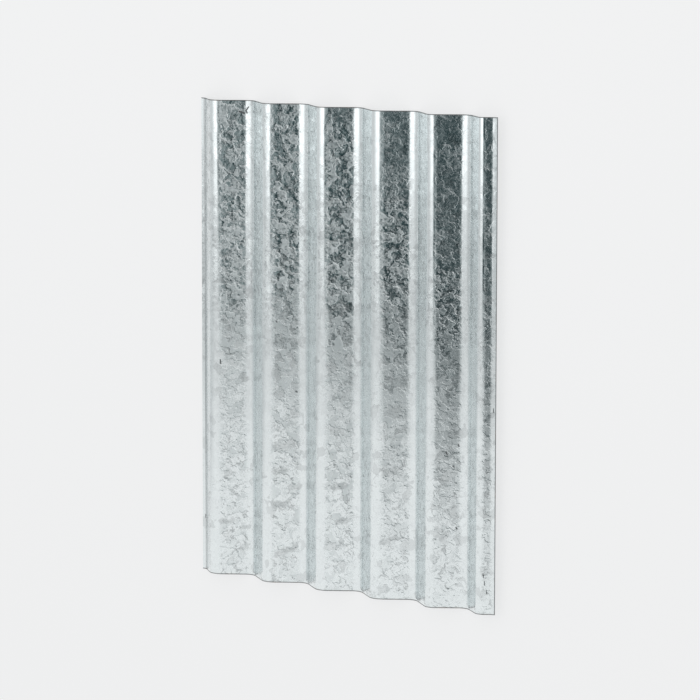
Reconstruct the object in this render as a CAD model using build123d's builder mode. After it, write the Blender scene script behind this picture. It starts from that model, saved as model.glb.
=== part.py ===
"""Corrugated galvanized steel sheet, lying flat.

One rolled sheet: a zigzag of straight flanks joined by round bends, run out
along +Y. X goes across the corrugations and Z is up. The origin is at the
middle of the sheet, on the surface that the valleys rest on.
"""

from build123d import *
from math import asin, atan2, cos, degrees, hypot, radians, sin, tan
import os

# The stock, in millimetres
sheet_length = 533.4
sheet_thickness = 0.55

# The rolled corrugation; every bend radius here is the one inside its bend
pitch = 76.2
profile_depth = 20.9
crest_bend_radius = 16.0
valley_bend_radius = 13.0
full_corrugations = 4

# The left side edge: a steeper, shorter flank that ends in a flat lip
left_flank_run = 24.5
left_flank_extra_slope = 3.2
left_lip_width = 5.1
left_lip_bend_radius = 3.8

# The right side edge: the bends get closer and tighter, the last crest is
# low, and its flank is cut short and flares a little flatter
last_full_crest_narrowing = 1.9
last_full_crest_bend_radius = 12.1
last_valley_narrowing = 5.0
last_valley_lift = 1.8
last_crest_narrowing = 9.2
last_crest_dip = 4.7
last_crest_bend_radius = 9.2
right_flank_run = 11.2
right_lip_width = 5.1
right_lip_slope = 20.5
right_lip_bend_radius = 5.9


def flank_slope():
    """The flanks' slope in degrees, which gives the depth at this pitch and bend."""
    run = pitch / 2
    bend_span = crest_bend_radius + valley_bend_radius + sheet_thickness
    bend_rise = profile_depth - sheet_thickness - bend_span
    return degrees(asin(bend_span / hypot(run, bend_rise)) + atan2(bend_rise, run))


def hollow(inside_radius):
    """The underside's radius at a bend that is hollow on top, where it is the outer face."""
    return inside_radius + sheet_thickness


slope = flank_slope()

# Where two flanks of the underside would meet, above and below its middle
corner_height = pitch / 4 * tan(radians(slope))

# How far a valley's underside stops short of its corner
valley_rounding = hollow(valley_bend_radius) * (1 / cos(radians(slope)) - 1)
floor_to_middle = corner_height - valley_rounding


def left_edge():
    """The lip's end and the lip's bend, as points and bend radii."""
    lip_height = corner_height - left_flank_run * tan(radians(slope + left_flank_extra_slope))
    lip_bend = (-left_flank_run, lip_height)
    lip_end = (-left_flank_run - left_lip_width, lip_height)
    return [lip_end, lip_bend], [hollow(left_lip_bend_radius)]


def full_waves():
    """Every crest and valley of full size, from the first crest at x = 0."""
    corners = []
    radii = []
    for wave in range(full_corrugations):
        corners.append((wave * pitch, corner_height))
        corners.append(((wave + 0.5) * pitch, -corner_height))
        radii += [crest_bend_radius, hollow(valley_bend_radius)]
    return corners, radii


def right_edge():
    """The last full crest, the smaller valley and crest, and the flank with its flared edge."""
    full_crest_x = full_corrugations * pitch - last_full_crest_narrowing
    valley_x = (full_corrugations + 0.5) * pitch - last_valley_narrowing
    crest_x = valley_x + pitch / 2 - last_crest_narrowing
    crest_height = corner_height - last_crest_dip
    flare_x = crest_x + right_flank_run
    flare_height = crest_height - right_flank_run * tan(radians(slope))
    end_x = flare_x + right_lip_width
    end_height = flare_height - right_lip_width * tan(radians(right_lip_slope))
    corners = [
        (full_crest_x, corner_height),
        (valley_x, last_valley_lift - corner_height),
        (crest_x, crest_height),
        (flare_x, flare_height),
        (end_x, end_height),
    ]
    radii = [
        last_full_crest_bend_radius,
        hollow(valley_bend_radius),
        last_crest_bend_radius,
        hollow(right_lip_bend_radius),
    ]
    return corners, radii


left_corners, left_radii = left_edge()
wave_corners, wave_radii = full_waves()
right_corners, right_radii = right_edge()
corners = left_corners + wave_corners + right_corners
radii = left_radii + wave_radii + right_radii

# The right edge is cut square to its lip, so its top leans out by this much
right_lean = sheet_thickness * sin(radians(right_lip_slope))

# The section is centred across the sheet and stands on its full valleys
centre_x = (corners[0][0] + corners[-1][0] + right_lean) / 2
underside = [(x - centre_x, z + floor_to_middle) for x, z in corners]

# The section is drawn at the far end, and the sheet runs from there along -Y
far_end = Plane.XZ.offset(-sheet_length / 2)

with BuildPart() as corrugated_sheet:
    with BuildSketch(far_end) as section:
        with BuildLine() as outline:
            FilletPolyline(*underside, radius=radii)
            offset(amount=sheet_thickness, side=Side.LEFT)
        make_face()
    extrude(amount=sheet_length)

corrugated_sheet.part.label = "corrugated_sheet"

os.makedirs("parts", exist_ok=True)
export_step(corrugated_sheet.part, "parts/corrugated_sheet.step")
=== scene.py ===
"""Corrugated galvanized sheet: its rolled shape, its spangled zinc, the light around it and the camera."""

from math import asin, atan2, cos, hypot, pi, radians, sin, tan

import bpy
from mathutils import Matrix, Vector

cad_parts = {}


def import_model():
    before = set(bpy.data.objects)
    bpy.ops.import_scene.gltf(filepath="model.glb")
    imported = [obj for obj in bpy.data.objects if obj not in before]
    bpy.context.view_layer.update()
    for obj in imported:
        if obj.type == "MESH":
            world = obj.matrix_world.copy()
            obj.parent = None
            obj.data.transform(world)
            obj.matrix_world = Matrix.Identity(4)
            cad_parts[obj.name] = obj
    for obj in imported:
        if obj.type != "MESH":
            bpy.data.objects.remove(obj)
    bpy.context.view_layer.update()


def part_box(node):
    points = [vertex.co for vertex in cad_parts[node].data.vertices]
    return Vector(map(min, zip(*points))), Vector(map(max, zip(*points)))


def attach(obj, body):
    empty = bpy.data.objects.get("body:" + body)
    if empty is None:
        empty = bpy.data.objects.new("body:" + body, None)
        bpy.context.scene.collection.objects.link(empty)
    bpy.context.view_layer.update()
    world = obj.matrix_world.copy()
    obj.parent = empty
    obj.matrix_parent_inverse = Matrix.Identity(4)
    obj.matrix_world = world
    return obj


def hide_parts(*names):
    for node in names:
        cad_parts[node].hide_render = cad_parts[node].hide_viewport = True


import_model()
SHEET_NODE = "corrugated_sheet"
SHEET_LOW, SHEET_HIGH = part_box(SHEET_NODE)

# The stock and its corrugation, in metres, as in the part's source; bend radii are inside ones
SHEET_LENGTH = 0.5334
SHEET_THICKNESS = 0.00055
PITCH = 0.0762
PROFILE_DEPTH = 0.0209
CREST_BEND_RADIUS = 0.016
VALLEY_BEND_RADIUS = 0.013
FULL_CORRUGATIONS = 4

# The left side edge
LEFT_FLANK_RUN = 0.0245
LEFT_FLANK_EXTRA_SLOPE = radians(3.2)
LEFT_LIP_WIDTH = 0.0051
LEFT_LIP_BEND_RADIUS = 0.0038

# The right side edge
LAST_FULL_CREST_NARROWING = 0.0019
LAST_FULL_CREST_BEND_RADIUS = 0.0121
LAST_VALLEY_NARROWING = 0.005
LAST_VALLEY_LIFT = 0.0018
LAST_CREST_NARROWING = 0.0092
LAST_CREST_DIP = 0.0047
LAST_CREST_BEND_RADIUS = 0.0092
RIGHT_FLANK_RUN = 0.0112
RIGHT_LIP_WIDTH = 0.0051
RIGHT_LIP_SLOPE = radians(20.5)
RIGHT_LIP_BEND_RADIUS = 0.0059

# Where a Mix node has its colour sockets
MIX_FIRST_COLOUR = 6
MIX_SECOND_COLOUR = 7
MIX_COLOUR_RESULT = 2


class Value:
    """A number socket that takes part in arithmetic; each operator adds its Math node."""

    def __init__(self, tree, socket):
        self.tree = tree
        self.socket = socket

    def math(self, operation, *others):
        return self.tree.value("ShaderNodeMath", {"operation": operation}, dict(enumerate((self, *others))))

    def __add__(self, other):
        return self.math("ADD", other)

    def __radd__(self, other):
        return self.math("ADD", other)

    def __sub__(self, other):
        return self.math("SUBTRACT", other)

    def __rsub__(self, other):
        return self.tree.value("ShaderNodeMath", {"operation": "SUBTRACT"}, {0: other, 1: self})

    def __mul__(self, other):
        return self.math("MULTIPLY", other)

    def __rmul__(self, other):
        return self.math("MULTIPLY", other)

    def __truediv__(self, other):
        return self.math("DIVIDE", other)

    def __abs__(self):
        return self.math("ABSOLUTE")

    def largest(self, other):
        return self.math("MAXIMUM", other)

    def lifted(self, share):
        """A mask whose ones stay 1 and whose zeros become a share."""
        return self * (1 - share) + share

    def ramp(self, start, end, low=0.0, high=1.0):
        """Eases from low to high while this value goes from start to end."""
        return self.tree.value(
            "ShaderNodeMapRange",
            {"interpolation_type": "SMOOTHSTEP"},
            {"Value": self, "From Min": start, "From Max": end, "To Min": low, "To Max": high},
            "Result",
        )


class Tree:
    """A shader or geometry tree, built node by node."""

    def __init__(self, tree):
        self.tree = tree

    def plug(self, socket, source):
        """Links a socket to a value or another socket, or sets it to a constant."""
        if isinstance(source, Value):
            source = source.socket
        if isinstance(source, bpy.types.NodeSocket):
            self.tree.links.new(source, socket)
        else:
            socket.default_value = source

    def node(self, kind, settings=None, sockets=None):
        """Adds a node: its settings are set first, then its sockets are linked or set."""
        made = self.tree.nodes.new(kind)
        for name, setting in (settings or {}).items():
            setattr(made, name, setting)
        for key, source in (sockets or {}).items():
            self.plug(made.inputs[key], source)
        return made

    def value(self, kind, settings=None, sockets=None, output=0):
        """Adds a node and takes one of its outputs as a value."""
        return Value(self, self.node(kind, settings, sockets).outputs[output])

    def split(self, vector):
        """A vector's X, Y and Z as values."""
        return [Value(self, part) for part in self.node("ShaderNodeSeparateXYZ", None, {0: vector}).outputs]

    def vector(self, operation, first, second=None, scale=None):
        """A Vector Math node's result."""
        sockets = {0: first}
        if second is not None:
            sockets[1] = second
        if scale is not None:
            sockets["Scale"] = scale
        return self.node("ShaderNodeVectorMath", {"operation": operation}, sockets).outputs[0]

    def centred(self, colour, size):
        """A colour as a vector about zero, scaled to a size."""
        return self.vector("SCALE", self.vector("SUBTRACT", colour, (0.5, 0.5, 0.5)), scale=size)

    def mix(self, factor, first, second):
        """A colour between two colours."""
        sockets = {"Factor": factor, MIX_FIRST_COLOUR: first, MIX_SECOND_COLOUR: second}
        return self.node("ShaderNodeMix", {"data_type": "RGBA"}, sockets).outputs[MIX_COLOUR_RESULT]

    def noise(self, at, scale, detail=1.0, rough=0.5):
        """A number that wanders from place to place."""
        sockets = {"Vector": at, "Scale": scale, "Detail": detail, "Roughness": rough}
        return self.value("ShaderNodeTexNoise", None, sockets)

    def shaken(self, at, place, scale, reach, detail=1.0):
        """Places moved by noise that wanders over another map of places."""
        sockets = {"Vector": place, "Scale": scale, "Detail": detail, "Roughness": 0.5}
        colour = self.node("ShaderNodeTexNoise", None, sockets).outputs["Color"]
        return self.vector("ADD", at, self.centred(colour, reach))


def flank_slope():
    """The flanks' slope, which gives the depth at this pitch and bend."""
    run = PITCH / 2
    bend_span = CREST_BEND_RADIUS + VALLEY_BEND_RADIUS + SHEET_THICKNESS
    bend_rise = PROFILE_DEPTH - SHEET_THICKNESS - bend_span
    return asin(bend_span / hypot(run, bend_rise)) + atan2(bend_rise, run)


def hollow(inside_radius):
    """The underside's radius at a bend that is hollow on top."""
    return inside_radius + SHEET_THICKNESS


def underside_corners():
    """The underside's corners as (x, z, bend radius), from the left edge to the right."""
    slope = flank_slope()
    height = PITCH / 4 * tan(slope)
    lip_height = height - LEFT_FLANK_RUN * tan(slope + LEFT_FLANK_EXTRA_SLOPE)
    corners = [
        (-LEFT_FLANK_RUN - LEFT_LIP_WIDTH, lip_height, 0),
        (-LEFT_FLANK_RUN, lip_height, hollow(LEFT_LIP_BEND_RADIUS)),
    ]
    for wave in range(FULL_CORRUGATIONS):
        corners.append((wave * PITCH, height, CREST_BEND_RADIUS))
        corners.append(((wave + 0.5) * PITCH, -height, hollow(VALLEY_BEND_RADIUS)))
    full_crest_x = FULL_CORRUGATIONS * PITCH - LAST_FULL_CREST_NARROWING
    valley_x = (FULL_CORRUGATIONS + 0.5) * PITCH - LAST_VALLEY_NARROWING
    crest_x = valley_x + PITCH / 2 - LAST_CREST_NARROWING
    crest_height = height - LAST_CREST_DIP
    flare_x = crest_x + RIGHT_FLANK_RUN
    flare_height = crest_height - RIGHT_FLANK_RUN * tan(slope)
    end_height = flare_height - RIGHT_LIP_WIDTH * tan(RIGHT_LIP_SLOPE)
    corners += [
        (full_crest_x, height, LAST_FULL_CREST_BEND_RADIUS),
        (valley_x, LAST_VALLEY_LIFT - height, hollow(VALLEY_BEND_RADIUS)),
        (crest_x, crest_height, LAST_CREST_BEND_RADIUS),
        (flare_x, flare_height, hollow(RIGHT_LIP_BEND_RADIUS)),
        (flare_x + RIGHT_LIP_WIDTH, end_height, 0),
    ]
    lean = SHEET_THICKNESS * sin(RIGHT_LIP_SLOPE)
    centre = (corners[0][0] + corners[-1][0] + lean) / 2
    middle = height - hollow(VALLEY_BEND_RADIUS) * (1 / cos(slope) - 1)
    return [(x - centre, z + middle, radius) for x, z, radius in corners]


# How finely the sheet is modelled
BEND_POINTS = 14
SECTION_POINTS = 331
LENGTH_POINTS = 121
SHARP_EDGE = radians(50)
WELD_DISTANCE = 1e-6

# How far the rolled sheet strays from true, in metres, how closely its swells follow each other, and
# from what share of the way to an end the cut wanders
SWELL_HEIGHT = 0.00022
SWELL_SCALE = 7.0
RIPPLE_HEIGHT = 0.00004
RIPPLE_SCALE = 34.0
CUT_WANDER = 0.00022
CUT_WANDER_SCALE = 60.0
CUT_WANDER_FROM = 0.985
STRAY_SEED = 3.0

# The rolling's inputs, with what they start from
ROLLING_INPUTS = [
    ("Section", "NodeSocketGeometry", None),
    ("Length", "NodeSocketFloat", SHEET_LENGTH),
    ("Thickness", "NodeSocketFloat", SHEET_THICKNESS),
    ("Bend Points", "NodeSocketInt", BEND_POINTS),
    ("Section Points", "NodeSocketInt", SECTION_POINTS),
    ("Length Points", "NodeSocketInt", LENGTH_POINTS),
    ("Swell Height", "NodeSocketFloat", SWELL_HEIGHT),
    ("Ripple Height", "NodeSocketFloat", RIPPLE_HEIGHT),
    ("Cut Wander", "NodeSocketFloat", CUT_WANDER),
    ("Seed", "NodeSocketFloat", STRAY_SEED),
    ("Lowest", "NodeSocketVector", None),
    ("Highest", "NodeSocketVector", None),
    ("Finish", "NodeSocketMaterial", None),
]


def bent_section(tree, given):
    """The section: a polyline whose corners are rounded to their own bend radii."""
    radius = tree.value("GeometryNodeInputNamedAttribute", {"data_type": "FLOAT"}, {"Name": "bend_radius"})
    line = tree.node("GeometryNodeMeshToCurve", None, {0: given["Section"]})
    sockets = {
        "Curve": line.outputs[0],
        "Count": given["Bend Points"],
        "Radius": radius,
        "Limit Radius": True,
    }
    return tree.node("GeometryNodeFilletCurve", {"mode": "POLY"}, sockets).outputs[0]


def laid_sheet(tree, given, section):
    """A grid of the sheet's length, whose columns are laid on the section."""
    sockets = {
        "Size X": 1.0,
        "Size Y": given["Length"],
        "Vertices X": given["Section Points"],
        "Vertices Y": given["Length Points"],
    }
    grid = tree.node("GeometryNodeMeshGrid", None, sockets)
    across, along = tree.split(tree.node("GeometryNodeInputPosition").outputs[0])[:2]
    sample = tree.node(
        "GeometryNodeSampleCurve",
        {"mode": "FACTOR", "data_type": "FLOAT"},
        {"Curves": section, "Factor": across + 0.5},
    )
    on_section = tree.split(sample.outputs["Position"])
    laid = tree.node("ShaderNodeCombineXYZ", None, {0: on_section[0], 1: along, 2: on_section[2]})
    sockets = {"Geometry": grid.outputs["Mesh"], "Position": laid.outputs[0]}
    return tree.node("GeometryNodeSetPosition", None, sockets).outputs[0]


def strayed_sheet(tree, given, sheet):
    """The rolled sheet swells and ripples slightly, and its cut ends wander."""
    place = tree.node("GeometryNodeInputPosition").outputs[0]
    normal = tree.node("GeometryNodeInputNormal").outputs[0]

    def stray(reach, scale, seed_step):
        """Noise about zero that reaches as far as an input says, at most."""
        seed = Value(tree, given["Seed"]) + seed_step
        sockets = {"Vector": place, "W": seed, "Scale": scale, "Detail": 1.0}
        noise = tree.value("ShaderNodeTexNoise", {"noise_dimensions": "4D"}, sockets)
        return (noise - 0.5) * Value(tree, given[reach]) * 2

    swell = stray("Swell Height", SWELL_SCALE, seed_step=0.0)
    ripple = stray("Ripple Height", RIPPLE_SCALE, seed_step=5.0)
    wander = stray("Cut Wander", CUT_WANDER_SCALE, seed_step=9.0)
    along = tree.split(place)[1]
    near_end = (abs(along) / (Value(tree, given["Length"]) / 2)).ramp(CUT_WANDER_FROM, 1.0)
    lengthwise = tree.node("ShaderNodeCombineXYZ", None, {1: wander * near_end}).outputs[0]
    offset = tree.vector("ADD", tree.vector("SCALE", normal, scale=swell + ripple), lengthwise)
    return tree.node("GeometryNodeSetPosition", None, {"Geometry": sheet, "Offset": offset}).outputs[0]


def closed_shell(tree, given, sheet):
    """The sheet's thickness: the upper face is drawn up from the lower one, which closes the shell."""
    sockets = {"Mesh": sheet, "Offset Scale": given["Thickness"], "Individual": False}
    upper = tree.node("GeometryNodeExtrudeMesh", {"mode": "FACES"}, sockets)
    lower = tree.node("GeometryNodeFlipFaces", None, {"Mesh": sheet})
    shell = tree.node("GeometryNodeJoinGeometry")
    tree.plug(shell.inputs[0], upper.outputs["Mesh"])
    tree.plug(shell.inputs[0], lower.outputs[0])
    sockets = {"Geometry": shell.outputs[0], "Distance": WELD_DISTANCE}
    return tree.node("GeometryNodeMergeByDistance", None, sockets).outputs[0]


def kept_inside(tree, given, sheet):
    """Nothing stands out of the sheet's own box."""
    place = tree.node("GeometryNodeInputPosition").outputs[0]
    inside = tree.vector("MINIMUM", tree.vector("MAXIMUM", place, given["Lowest"]), given["Highest"])
    return tree.node("GeometryNodeSetPosition", None, {"Geometry": sheet, "Position": inside}).outputs[0]


def shaded(tree, sheet):
    """The bends shade smoothly and the cut edges stay sharp."""
    angle = tree.value("GeometryNodeInputMeshEdgeAngle", output="Unsigned Angle")
    sockets = {"Geometry": sheet, "Shade Smooth": True}
    smooth = tree.node("GeometryNodeSetShadeSmooth", {"domain": "FACE"}, sockets)
    sockets = {
        "Geometry": smooth.outputs[0],
        "Selection": angle.math("GREATER_THAN", SHARP_EDGE),
        "Shade Smooth": False,
    }
    return tree.node("GeometryNodeSetShadeSmooth", {"domain": "EDGE"}, sockets).outputs[0]


def corrugation_tree():
    """Geometry Nodes: a bent section, run along the sheet, strayed a little and given its thickness."""
    group = bpy.data.node_groups.new("corrugated_sheet_rolling", "GeometryNodeTree")
    for name, kind, start in ROLLING_INPUTS:
        socket = group.interface.new_socket(name, in_out="INPUT", socket_type=kind)
        if start is not None:
            socket.default_value = start
    group.interface.new_socket("Sheet", in_out="OUTPUT", socket_type="NodeSocketGeometry")
    tree = Tree(group)
    given = tree.node("NodeGroupInput").outputs
    sheet = laid_sheet(tree, given, bent_section(tree, given))
    sheet = closed_shell(tree, given, strayed_sheet(tree, given, sheet))
    sheet = shaded(tree, kept_inside(tree, given, sheet))
    real = tree.node("GeometryNodeRealizeInstances", None, {0: sheet})
    sockets = {"Geometry": real.outputs[0], "Material": given["Finish"]}
    painted = tree.node("GeometryNodeSetMaterial", None, sockets)
    tree.plug(tree.node("NodeGroupOutput").inputs["Sheet"], painted.outputs[0])
    return group


def set_inputs(modifier, inputs):
    """Sets a Geometry Nodes modifier's inputs by their names, through the sockets' identifiers."""
    for item in modifier.node_group.interface.items_tree:
        if item.item_type == "SOCKET" and item.in_out == "INPUT" and item.name in inputs:
            modifier[item.identifier] = inputs[item.name]


def placed(name, data):
    """A new object in the scene."""
    made = bpy.data.objects.new(name, data)
    bpy.context.scene.collection.objects.link(made)
    return made


def section_line():
    """The section's corners as a line of edges, with the bend radius at each."""
    corners = underside_corners()
    line = bpy.data.meshes.new("sheet_section")
    edges = [(i, i + 1) for i in range(len(corners) - 1)]
    line.from_pydata([(x, 0, z) for x, z, radius in corners], edges, [])
    bends = line.attributes.new("bend_radius", "FLOAT", "POINT")
    for item, (x, z, radius) in zip(bends.data, corners):
        item.value = radius
    return line


def rolled_sheet(finish):
    """The whole sheet as one closed mesh."""
    carrier = placed("sheet_section", section_line())
    modifier = carrier.modifiers.new("rolling", "NODES")
    modifier.node_group = corrugation_tree()
    set_inputs(modifier, {"Lowest": SHEET_LOW, "Highest": SHEET_HIGH, "Finish": finish})
    graph = bpy.context.evaluated_depsgraph_get()
    mesh = bpy.data.meshes.new_from_object(carrier.evaluated_get(graph))
    bpy.data.objects.remove(carrier)
    mesh.name = "spangled_sheet"
    return placed("spangled_sheet", mesh)


# The sizes of the zinc's crystals and grain, as noise scales in features per metre
LEAF_SCALE = 80.0
TOP_SCALE = 120.0
TWIG_SCALE = 210.0
CHIP_SCALE = 350.0
CRYSTAL_SCALE = 95.0
COMB_SCALES = (620.0, 170.0, 620.0)
GRAIN_SCALE = 430.0
GRAIN_ROUGHNESS = 0.6

# The two noises that push the crystals' edges about: their scales, and the span of the push, in metres
PUSH_SCALE = 110.0
PUSH_REACH = 0.010
PUSH_DETAIL = 2.0
FRAY_SCALE = 270.0
FRAY_REACH = 0.0032

# Where each noise steps from skin to crystal, which crystals are combed or dull, how strong the twigs
# are, and how much of the patches is lost where the crystals are fine
LEAF_STEP = (0.535, 0.565)
TOP_STEP = (0.57, 0.61)
TWIG_STEP = (0.57, 0.63)
CHIP_STEP = (0.55, 0.61)
MOTTLE_STEP = (0.38, 0.62)
COMB_STEP = (0.42, 0.58)
COMBED_CRYSTALS = (0.78, 0.82)
DULL_CRYSTALS = (0.84, 0.87)
TWIG_STRENGTH = 0.6
FINE_PATCH_LOSS = 0.85

# Zones of the sheet, in metres from its middle: the fine one by x + y, the duller one by x, others by y
FINE_ZONE = (0.215, 0.275)
DULLER_ZONE = (0.0, 0.15)
BOLD_ZONE = (0.0, 0.12)
CALM_ZONE_FAR_SIDE = (0.07, 0.0)
CALM_ZONE_NEAR_SIDE = (-0.13, -0.07)

# How far a face leans, as a sine, where a bend ends and a flank begins, and what the rolls missed
FLANK_LEAN = (0.26, 0.5)
MISSED_SCALE = 9.0
MISSED_STEP = (0.42, 0.62)
MISSED_SHARE = 0.45

# Roughness: of the metal itself, of the frosted patches, of the skin between them, and of the bends
METAL_ROUGHNESS = 0.08
PATCH_FROST = 0.14
FAR_PATCH_LOSS = 0.042
CRYSTAL_FROST = 0.17
PATCH_GRAIN_FROST = 0.08
FAR_PATCH_GRAIN_FROST = 0.12
DULLER_LOSS = 0.28
NEAR_PATCH_SHARE = 0.8
CHIP_FROST = 0.15
SKIN_GRAIN_FROST = 0.05
COMB_FROST = 0.1
FINE_FROST = 0.09
NEAR_SKIN_FROST = 0.035
BEND_FROST_SHARE = 0.4
BEND_FROST = 0.05
BARE_STEEL_ROUGHNESS = 0.25
SCORE_ROUGHNESS = 0.3

# Relief, in metres, and how much of it some places lose
PATCH_DEPTH = 0.00011
CHIP_DEPTH = 0.00002
DISH_DEPTH = 0.00005
FAR_DISH_DEPTH = 0.0004
LEAF_DISH_WEIGHT = 1.4
GRAIN_HEIGHT = 0.00007
COMB_HEIGHT = 0.00005
PATCH_GRAIN_LOSS = 0.6
FAR_PATCH_GRAIN_GAIN = 0.4
FINE_RELIEF_LOSS = 0.4
CALM_RELIEF_LOSS = 0.5
RELIEF_SHARES = (1.0, 0.55, 1.0)

# Each crystal mirrors a slightly different direction
CRYSTAL_TILT = 0.035
TILT_SHARES = (0.5, 0.7, 0.5)

# Seams and rims run along some stretches of the edges only
SEAM_WIDTH = (0.01, 0.06)
STRETCH_SCALE = 95.0
STRETCH_STEP = (0.58, 0.64)
LEAF_RIM_START = (0.495, 0.525)
LEAF_RIM_END = (0.55, 0.53)
TOP_RIM_START = (0.525, 0.56)
TOP_RIM_END = (0.585, 0.565)
RIM_BREAK_SCALE = 150.0
RIM_BREAK_STEP = (0.52, 0.59)
CALM_SEAM_LOSS = 0.75
BEND_SEAM_STRENGTH = 0.1
FLANK_SEAM_GAIN = 0.45

# Dull crystals, pits in the skin and the grain's speckle
DULL_STRENGTH = 0.45
PIT_STEP = (0.47, 0.4)
PIT_STRENGTH = 0.8
LONE_PIT_SHARE = 0.2
SPECKLE_STRENGTH = 0.08
FAR_PATCH_SPECKLE = 0.34

# Colours of the zinc
SKIN_TONE = (0.75, 0.794, 0.802, 1)
PATCH_TONE = (0.772, 0.818, 0.825, 1)
DULL_TONE = (0.54, 0.572, 0.578, 1)
SEAM_TONE = (0.29, 0.31, 0.315, 1)


class Spangle:
    """The zinc on the sheet: where its zones, patches and crystals lie, and the looks that follow."""

    def __init__(self, tree):
        coordinates = tree.node("ShaderNodeTexCoord").outputs
        self.tree = tree
        self.place = coordinates["Object"]
        pushed = tree.shaken(self.place, self.place, PUSH_SCALE, PUSH_REACH, PUSH_DETAIL)
        self.leafy = tree.shaken(pushed, self.place, FRAY_SCALE, FRAY_REACH)
        self.mark_zones()
        self.burnish_bends(coordinates["Normal"])
        self.grow_patches()
        self.grow_crystals()

    def mark_zones(self):
        """Where the crystals are finer, duller, bolder over the far half, or plainer across the middle."""
        across, along = self.tree.split(self.leafy)[:2]
        self.fine = (across + along).ramp(*FINE_ZONE)
        self.duller = across.ramp(*DULLER_ZONE)
        self.bold = along.ramp(*BOLD_ZONE)
        self.calm = along.ramp(*CALM_ZONE_FAR_SIDE) * along.ramp(*CALM_ZONE_NEAR_SIDE)

    def burnish_bends(self, facing):
        """The forming rolls burnish the bends; what they leave raw is the flanks, and places they missed."""
        missed = self.tree.noise(self.place, MISSED_SCALE).ramp(*MISSED_STEP)
        flank = abs(self.tree.split(facing)[0]).ramp(*FLANK_LEAN)
        self.raw = flank * (1 - missed * MISSED_SHARE) + missed * MISSED_SHARE

    def blots(self, scale, shift):
        """A field whose high places are leafy patches of one size; each field has a shift of its own."""
        return self.tree.noise(self.tree.vector("ADD", self.leafy, (shift, 0.0, 0.0)), scale)

    def grow_patches(self):
        """Leaves, tops and twigs make the frosted patches; chips lie in the skin, and grain is all over."""
        self.leaf_field = self.blots(LEAF_SCALE, shift=1.0)
        self.top_field = self.blots(TOP_SCALE, shift=2.0)
        self.leaves = self.leaf_field.ramp(*LEAF_STEP)
        self.tops = self.top_field.ramp(*TOP_STEP)
        twigs = self.blots(TWIG_SCALE, shift=3.0).ramp(*TWIG_STEP)
        self.chips = self.blots(CHIP_SCALE, shift=4.0).ramp(*CHIP_STEP)
        patch = self.leaves.largest(self.tops).largest(twigs * TWIG_STRENGTH)
        self.patch = patch * (1 - self.fine * FINE_PATCH_LOSS)
        self.grain = self.tree.noise(self.place, GRAIN_SCALE, rough=GRAIN_ROUGHNESS)
        self.mottle = self.grain.ramp(*MOTTLE_STEP)

    def grow_crystals(self):
        """Crystals with three random numbers each: how dull, how frosted and whether combed."""
        tree = self.tree
        sockets = {"Vector": self.leafy, "Scale": CRYSTAL_SCALE}
        self.crystal_colour = tree.node("ShaderNodeTexVoronoi", None, sockets).outputs["Color"]
        self.edge_gap = tree.value("ShaderNodeTexVoronoi", {"feature": "DISTANCE_TO_EDGE"}, sockets)
        numbers = tree.node("ShaderNodeSeparateColor", None, {0: self.crystal_colour}).outputs
        dullness, self.frosting, combing = [Value(tree, number) for number in numbers]
        comb_map = tree.vector("MULTIPLY", self.leafy, COMB_SCALES)
        arms = tree.noise(comb_map, 1.0, detail=0.0).ramp(*COMB_STEP)
        self.combed = combing.ramp(*COMBED_CRYSTALS) * arms
        self.dull = dullness.ramp(*DULL_CRYSTALS) * (1 - self.leaves)

    def roughness(self):
        """Frosted patches lie on a finely mottled skin that mirrors what is around it."""
        skin = self.chips * (CHIP_FROST - self.fine * FINE_FROST) + self.mottle * SKIN_GRAIN_FROST
        skin = skin + self.combed * COMB_FROST + self.fine * FINE_FROST + (1 - self.bold) * NEAR_SKIN_FROST
        grain = self.mottle * (self.bold * FAR_PATCH_GRAIN_FROST + PATCH_GRAIN_FROST)
        frosted = self.frosting * CRYSTAL_FROST + grain + PATCH_FROST - self.bold * FAR_PATCH_LOSS
        frosted = frosted * (1 - self.duller * DULLER_LOSS) * self.bold.lifted(NEAR_PATCH_SHARE)
        frost = self.patch * frosted + (1 - self.patch) * skin
        return frost * self.raw.lifted(BEND_FROST_SHARE) + (1 - self.raw) * BEND_FROST

    def normal(self):
        """The patches lie a little lower, dished and with a steep edge, and the skin has a fine grain."""
        tree = self.tree
        chipped = self.chips * (1 - self.patch) * -CHIP_DEPTH
        height = self.leaves * -PATCH_DEPTH + self.tops * -PATCH_DEPTH + chipped
        dish = self.leaf_field * LEAF_DISH_WEIGHT + self.top_field
        height = height + dish * (self.bold * -FAR_DISH_DEPTH - DISH_DEPTH)
        smooth = self.patch * (PATCH_GRAIN_LOSS - self.bold * FAR_PATCH_GRAIN_GAIN)
        height = height + self.grain * (1 - smooth) * GRAIN_HEIGHT + self.combed * COMB_HEIGHT
        height = height * self.raw * (1 - self.fine * FINE_RELIEF_LOSS) * (1 - self.calm * CALM_RELIEF_LOSS)
        bump = tree.node("ShaderNodeBump", None, {"Strength": 1.0, "Distance": 1.0, "Height": height})
        relief = tree.vector("MULTIPLY", bump.outputs[0], RELIEF_SHARES)
        tilt = tree.vector("MULTIPLY", tree.centred(self.crystal_colour, CRYSTAL_TILT), TILT_SHARES)
        return tree.vector("NORMALIZE", tree.vector("ADD", relief, tilt))

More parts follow.
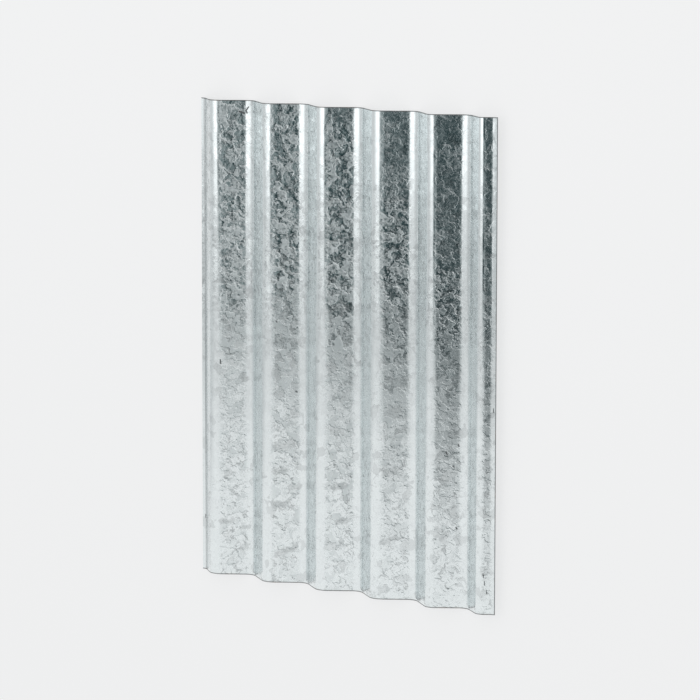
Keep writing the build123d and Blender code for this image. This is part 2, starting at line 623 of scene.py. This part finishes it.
    def seams(self, stretch):
        """Dark lines along some stretches of the crystals' and the patches' edges."""
        between_crystals = (1 - self.edge_gap.ramp(*SEAM_WIDTH)) * stretch
        leaf_rim = self.leaf_field.ramp(*LEAF_RIM_START) * self.leaf_field.ramp(*LEAF_RIM_END)
        top_rim = self.top_field.ramp(*TOP_RIM_START) * self.top_field.ramp(*TOP_RIM_END)
        broken = self.tree.noise(self.place, RIM_BREAK_SCALE).ramp(*RIM_BREAK_STEP) * (1 - self.fine)
        seam = between_crystals.largest(leaf_rim.largest(top_rim) * broken)
        return seam * (1 - self.calm * CALM_SEAM_LOSS)

    def tone(self):
        """The zinc's colour, with dull crystals, pits in the skin, speckle and seams."""
        tree = self.tree
        stretch = tree.noise(self.place, STRETCH_SCALE).ramp(*STRETCH_STEP)
        pits = self.grain.ramp(*PIT_STEP) * (1 - self.patch) * self.raw * stretch.lifted(LONE_PIT_SHARE)
        speckle = self.patch * self.bold * self.raw * FAR_PATCH_SPECKLE + SPECKLE_STRENGTH
        dulled = self.dull * DULL_STRENGTH + pits * PIT_STRENGTH + (1 - self.mottle) * speckle
        seamed = self.seams(stretch) * (self.raw * FLANK_SEAM_GAIN + BEND_SEAM_STRENGTH)
        tone = tree.mix(self.patch, SKIN_TONE, PATCH_TONE)
        return tree.mix(seamed, tree.mix(dulled, tone, DULL_TONE), SEAM_TONE)


# Marks on the upper face, in millimetres as (start x, y, end x, y, width)
GREY_BLOTCHES = [
    (-90, -114, -76, -111, 9),
    (-90, -141, -82, -139, 7),
    (-91, -180, -79, -176, 7),
    (-169, -206, -158, -205, 6),
    (-89, -236, -75, -226, 6),
    (-76, -160, -69, -158, 6),
    (-9, -151, 0, -149, 7),
    (-7, -190, 2, -186, 6),
    (64, -128, 72, -123, 8),
    (60, -203, 72, -199, 6),
    (139, -190, 143, -186, 5),
    (-147, -214, -142, -211, 5),
    (-154, -228, -153, -246, 1),
]
CURL = [
    (-141.7, 259.2, -144.6, 254.8, 1.5),
    (-144.6, 254.8, -143.2, 252.4, 1.4),
    (-150.2, 253.9, -146.4, 252.3, 2.2),
]
EDGE_DASHES = [
    (195.2, -222.0, 195.6, -226.5, 0.8),
    (196.4, -230.5, 196.6, -234.5, 0.9),
    (198.2, -240.0, 198.4, -244.0, 0.8),
    (-202.6, -204.0, -202.4, -208.0, 0.9),
    (204.0, -43.5, 203.6, -47.5, 1.0),
]
SPECKS = [
    (-168.6, -23.5, -168.2, -27.5, 1.4),
    (-71.8, -51.4, -70.8, -52.2, 1.6),
    (-89.4, 26.6, -88.8, 25.4, 1.2),
    (142.4, -96.0, 143.6, -99.5, 1.2),
    (153.0, -88.0, 153.8, -89.8, 1.2),
    (148.6, -111.4, 149.4, -112.4, 1.3),
    (151.6, -178.4, 152.4, -180.0, 1.2),
]
MILLIMETRES_IN_A_METRE = 1000

# How softly the marks end, as a share of their width, and how strongly they show
BLOTCH_SOFTNESS = 0.3
BLOTCH_STRENGTH = 0.6
SCORE_SOFTNESS = 0.35
SCORE_STRENGTH = 0.85
SCORE_FRAY_SCALE = 700.0
SCORE_FRAY_REACH = 0.0012
STAIN_TONE = (0.50, 0.53, 0.535, 1)
SCORE_TONE = (0.10, 0.105, 0.11, 1)

# The painted shade beside the fold of the left lip, a grey line down each side: the lines' distances from
# the edge, and where each ends and where it is full, in metres from its middle
FOLD_LINES = (0.0054, 0.0101)
FOLD_LINE_FADE = (0.0018, 0.0005)
FOLD_SHADE_STRENGTH = 0.9
FOLD_SHADE_TONE = (0.43, 0.45, 0.455, 1)

# The bare cut strips: where the zinc is whole and where it is gone, in metres from the edge
END_STRIP = (0.0014, 0.00056)
SIDE_STRIP = (0.00112, 0.00042)
BARE_STRENGTH = 0.85
RUST_SCALE = 60.0
RUST_DETAIL = 3.0
RUST_STEP = (0.5, 0.7)
STEEL_TONE = (0.15, 0.152, 0.155, 1)
RUST_TONE = (0.17, 0.14, 0.12, 1)


def marks(tree, at, strokes, softness):
    """Where strokes lie: 1 on each stroke, easing to 0 over a share of its width."""
    flat = tree.vector("MULTIPLY", at, (1.0, 1.0, 0.0))
    covered = None
    for x0, y0, x1, y1, width in strokes:
        start = Vector((x0, y0, 0)) / MILLIMETRES_IN_A_METRE
        run = Vector((x1, y1, 0)) / MILLIMETRES_IN_A_METRE - start
        away = tree.vector("SUBTRACT", flat, tuple(start))
        sockets = {0: away, 1: tuple(run)}
        along = tree.value("ShaderNodeVectorMath", {"operation": "DOT_PRODUCT"}, sockets, "Value")
        share = tree.value("ShaderNodeClamp", None, {0: along / run.length_squared})
        sockets = {0: away, 1: tree.vector("SCALE", tuple(run), scale=share)}
        gap = tree.value("ShaderNodeVectorMath", {"operation": "DISTANCE"}, sockets, "Value")
        half = width / 2 / MILLIMETRES_IN_A_METRE
        stroke = gap.ramp(half * (1 + softness), half * (1 - softness))
        covered = stroke if covered is None else covered.largest(stroke)
    return covered


def with_fold_shade(tree, across, tone):
    """The colour with a grey line of painted shade down each side of the fold beside the left lip."""
    for fold_line in FOLD_LINES:
        gap = abs(across - (SHEET_LOW.x + fold_line))
        tone = tree.mix(gap.ramp(*FOLD_LINE_FADE) * FOLD_SHADE_STRENGTH, tone, FOLD_SHADE_TONE)
    return tone


def bare_strips(across, along):
    """Where the sheared ends and the right side edge are bare steel."""
    from_end = SHEET_LENGTH / 2 - abs(along)
    from_right = SHEET_HIGH.x - across
    return from_end.ramp(*END_STRIP).largest(from_right.ramp(*SIDE_STRIP))


def galvanized_finish():
    """Hot-dip zinc with its crystals, the marks of handling and storage, painted shade beside the fold of
    the left lip, and bare cut edges.
    """
    material = bpy.data.materials.new("galvanized_spangle")
    material.use_nodes = True
    shader = material.node_tree.nodes["Principled BSDF"]
    tree = Tree(material.node_tree)
    zinc = Spangle(tree)
    across, along = tree.split(zinc.place)[:2]
    stains = marks(tree, zinc.leafy, GREY_BLOTCHES, BLOTCH_SOFTNESS)
    ragged = tree.shaken(zinc.place, zinc.place, SCORE_FRAY_SCALE, SCORE_FRAY_REACH)
    scores = marks(tree, ragged, CURL + EDGE_DASHES + SPECKS, SCORE_SOFTNESS)
    bare = bare_strips(across, along)
    rusty = tree.noise(zinc.place, RUST_SCALE, RUST_DETAIL).ramp(*RUST_STEP)

    # Two grey lines of painted shade beside the fold of the left lip
    tone = with_fold_shade(tree, across, zinc.tone())
    tone = tree.mix(stains * BLOTCH_STRENGTH, tone, STAIN_TONE)
    tone = tree.mix(scores * SCORE_STRENGTH, tone, SCORE_TONE)
    tone = tree.mix(bare * BARE_STRENGTH, tone, tree.mix(rusty, STEEL_TONE, RUST_TONE))
    rough = zinc.roughness() + bare * BARE_STEEL_ROUGHNESS + scores * SCORE_ROUGHNESS + METAL_ROUGHNESS
    tree.plug(shader.inputs["Base Color"], tone)
    tree.plug(shader.inputs["Roughness"], rough)
    tree.plug(shader.inputs["Normal"], zinc.normal())
    shader.inputs["Metallic"].default_value = 1.0
    return material


def stage_material(name):
    """A new material with no shader yet, and its tree."""
    material = bpy.data.materials.new(name)
    material.use_nodes = True
    material.node_tree.nodes.remove(material.node_tree.nodes["Principled BSDF"])
    return material, Tree(material.node_tree)


def show(tree, shader):
    """Makes a shader node the material's surface."""
    tree.plug(tree.tree.nodes["Material Output"].inputs["Surface"], shader.outputs[0])


def plain_surface(name, colour, even_share):
    """A matt surface; the camera, mirrors and glass see a share of it as an even pale tone."""
    material, tree = stage_material(name)
    matt = tree.node("ShaderNodeBsdfDiffuse", None, {"Color": (*colour, 1)})
    even = tree.node("ShaderNodeEmission", None, {"Color": (*colour, 1), "Strength": 1.0})
    rays = tree.node("ShaderNodeLightPath").outputs
    seen = Value(tree, rays["Is Camera Ray"]).largest(Value(tree, rays["Is Glossy Ray"]))
    seen = seen.largest(Value(tree, rays["Is Transmission Ray"]))
    sockets = {0: seen * even_share, 1: matt.outputs[0], 2: even.outputs[0]}
    show(tree, tree.node("ShaderNodeMixShader", None, sockets))
    return material


# Between which heights, in metres, a card's glow fades
FADE_HEIGHTS = (0.8, 2.3)


def glowing_card_material(name, colour, steps, fade=0.0):
    """What mirrors see of a card: a colour that eases into others along +X, and fades as it rises."""
    material, tree = stage_material(name)
    across, along, rise = tree.split(tree.node("ShaderNodeTexCoord").outputs["Object"])
    tone = (*colour, 1)
    for lean, start, end, next_colour in steps:
        tone = tree.mix((across - rise * lean).ramp(start, end), tone, (*next_colour, 1))
    tone = tree.vector("SCALE", tone, scale=rise.ramp(*FADE_HEIGHTS, 1.0, 1.0 - fade))
    show(tree, tree.node("ShaderNodeEmission", None, {"Color": tone, "Strength": 1.0}))
    return material


def stage_quad(name, corners, material):
    """A flat stage piece through four corners."""
    mesh = bpy.data.meshes.new(name)
    mesh.from_pydata(corners, [], [(0, 1, 2, 3)])
    mesh.materials.append(material)
    made = placed(name, mesh)
    return made


def card(name, corners, material):
    """A stage card that is seen only in reflections."""
    made = stage_quad(name, corners, material)
    made.visible_camera = False
    made.visible_diffuse = False
    made.visible_shadow = False
    made.visible_transmission = False


FLOOR_HALF = 6.0
FLOOR_DROP = 0.0004
FLOOR_TONE = (0.925, 0.927, 0.93)
FLOOR_EVEN_SHARE = 0.7


def floor():
    """The plain pale floor that the sheet lies on."""
    half = FLOOR_HALF
    level = SHEET_LOW.z - FLOOR_DROP
    corners = [(-half, -half, level), (half, -half, level), (half, half, level), (-half, half, level)]
    stage_quad("studio_floor", corners, plain_surface("pale_floor", FLOOR_TONE, FLOOR_EVEN_SHARE))


# The softbox, in metres; its lean is from straight up above the sheet's middle
SOFTBOX_WIDTH = 1.7
SOFTBOX_LENGTH = 1.5
SOFTBOX_DISTANCE = 1.35
SOFTBOX_LEAN = radians(-17)
SOFTBOX_NEAR_END = 0.05
SOFTBOX_HALF_SPREAD = radians(32)
SOFTBOX_GLOW = 1.05


def softbox():
    """The broad gridded softbox on the left, whose middle the bends mirror as bright lines."""
    light = bpy.data.lights.new("left_softbox", "AREA")
    light.shape = "RECTANGLE"
    light.size = SOFTBOX_WIDTH
    light.size_y = SOFTBOX_LENGTH
    light.spread = 2 * SOFTBOX_HALF_SPREAD
    grid_gain = tan(SOFTBOX_HALF_SPREAD) / (tan(SOFTBOX_HALF_SPREAD) - SOFTBOX_HALF_SPREAD)
    light.energy = SOFTBOX_GLOW * pi * SOFTBOX_WIDTH * SOFTBOX_LENGTH / grid_gain
    made = placed("left_softbox", light)
    back = Vector((sin(SOFTBOX_LEAN), 0, cos(SOFTBOX_LEAN)))
    along = Vector((0, 1, 0))
    middle = back * SOFTBOX_DISTANCE + along * (SOFTBOX_NEAR_END + SOFTBOX_LENGTH / 2)
    turn = Matrix((along.cross(back), along, back)).transposed().to_4x4()
    made.matrix_world = Matrix.Translation(middle) @ turn


# The sweep of paper beyond the sheet's near end; steps are (lean, from x, to x, colour)
PAPER_LEFT = (0.62, 0.635, 0.64)
PAPER_NEAR = (0.98, 0.98, 0.98)
PAPER_FAR = (0.12, 0.155, 0.16)
PAPER_DEEP = (0.07, 0.09, 0.095)
PAPER_STEPS = [
    (-0.4, -1.5, -0.25, PAPER_NEAR),
    (0.25, 0.16, 1.02, PAPER_FAR),
    (0.25, 0.55, 0.95, PAPER_DEEP),
]
PAPER_FADE = 0.44
PAPER_REACH = 2.35
PAPER_HALF_WIDTH = 2.5
PAPER_GAP = 0.002


def paper_sweep():
    """What the sheet mirrors beyond its near end: pale paper that darkens to the right."""
    front = SHEET_LOW.y - PAPER_GAP
    half = PAPER_HALF_WIDTH
    top = PAPER_REACH
    corners = [(-half, front, 0.0), (half, front, 0.0), (half, front, top), (-half, front, top)]
    material = glowing_card_material("sweep_paper", PAPER_LEFT, PAPER_STEPS, PAPER_FADE)
    card("sweep_paper", corners, material)


# The room above the sheet, as far as its flanks mirror it; steps as for the paper
WALL_TONE = (0.6, 0.62, 0.625)
MIDDLE_TONE = (0.235, 0.285, 0.29)
ROOM_TONE = (0.03, 0.055, 0.06)
ROOM_STEPS = [
    (0.0, 0.2, 1.3, MIDDLE_TONE),
    (0.0, 1.25, 1.7, ROOM_TONE),
]
ROOM_HEIGHT = 2.5
ROOM_LEFT = 0.2
ROOM_RIGHT = 8.0
ROOM_HALF_LENGTH = 3.0


def dark_room():
    """Above the sheet the pale wall gives way to a dark room on the right."""
    left, right, half, height = ROOM_LEFT, ROOM_RIGHT, ROOM_HALF_LENGTH, ROOM_HEIGHT
    corners = [(left, -half, height), (right, -half, height), (right, half, height), (left, half, height)]
    card("dark_room", corners, glowing_card_material("dark_room", WALL_TONE, ROOM_STEPS))


SURROUNDINGS_TONE = (0.755, 0.766, 0.771)


def world():
    """Plain pale surroundings, the same to the camera, to mirrors and as soft fill light."""
    made = bpy.data.worlds.new("studio")
    bpy.context.scene.world = made
    made.use_nodes = True
    background = made.node_tree.nodes["Background"]
    background.inputs["Color"].default_value = (*SURROUNDINGS_TONE, 1)
    background.inputs["Strength"].default_value = 1.0


# The camera: a long lens, far back, looking down on the sheet from its right side
CAMERA_DISTANCE = 4.5258
CAMERA_ELEVATION = radians(51.0091)
CAMERA_TURN = radians(12.7894)
CAMERA_AIM = Vector((0.00917, 0.00235, 0.01045))
CAMERA_ROLL = radians(0.0774)
CAMERA_LENS = 213.689
SENSOR_WIDTH = 36.0


def camera():
    """Places the camera with the sheet's length upright in the picture."""
    level = cos(CAMERA_ELEVATION)
    back = Vector((level * cos(CAMERA_TURN), level * sin(CAMERA_TURN), sin(CAMERA_ELEVATION)))
    right = Vector((0, 1, 0)).cross(back).normalized()
    up = back.cross(right)
    lens = bpy.data.cameras.new("studio_camera")
    lens.sensor_width = SENSOR_WIDTH
    lens.lens = CAMERA_LENS
    made = placed("studio_camera", lens)
    turn = Matrix((right, up, back)).transposed().to_4x4()
    roll = Matrix.Rotation(CAMERA_ROLL, 4, "Z")
    made.matrix_world = Matrix.Translation(CAMERA_AIM + back * CAMERA_DISTANCE) @ turn @ roll
    bpy.context.scene.camera = made


camera()
world()
floor()
softbox()
paper_sweep()
dark_room()

sheet = rolled_sheet(galvanized_finish())
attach(sheet, "root")
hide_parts(SHEET_NODE)

bpy.context.scene.view_settings.view_transform = "Standard"

print("triangles", sum(len(p.vertices) - 2 for p in sheet.data.polygons))
